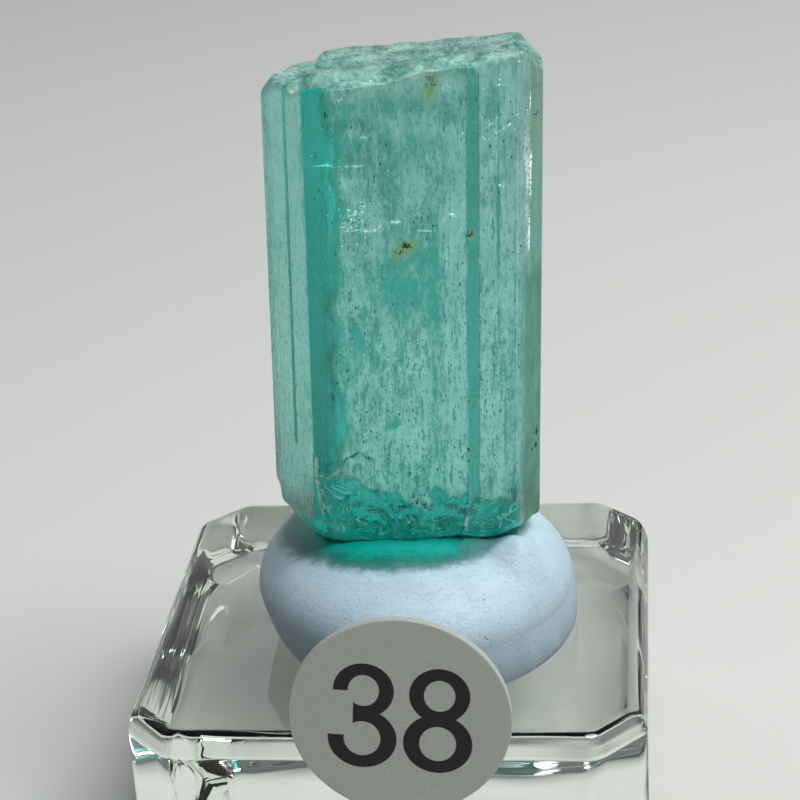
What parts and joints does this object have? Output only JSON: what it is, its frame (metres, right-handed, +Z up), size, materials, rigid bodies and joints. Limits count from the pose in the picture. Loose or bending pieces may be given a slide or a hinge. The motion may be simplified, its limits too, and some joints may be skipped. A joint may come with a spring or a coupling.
{
  "type": "aquamarine crystal specimen on a glass display block",
  "caption": "Broken six-sided blue-green crystal prism held upright in mounting putty on a clear cut-corner block with a round number label.",
  "frame": {"origin": "centre of the glass block's underside, on the surface it stands on", "axes": "+Z up along the specimen, -Y out of the block's front face, which carries the number label, +X to the right seen from the front"},
  "size_m": [0.03, 0.0308, 0.0478],
  "materials": {
    "aquamarine": "see-through blue-green crystal, frosted and finely striated along its length, glossy on the broken ends",
    "putty": "satin blue-grey mounting putty with faint finger marks",
    "clear_glass": "clear polished glass",
    "label": "matte off-white label with black digits"
  },
  "bodies": {
    "root": {"crystal": "aquamarine", "putty": "putty", "glass_block": "clear_glass", "number_label": "label"}
  },
  "joints": []
}
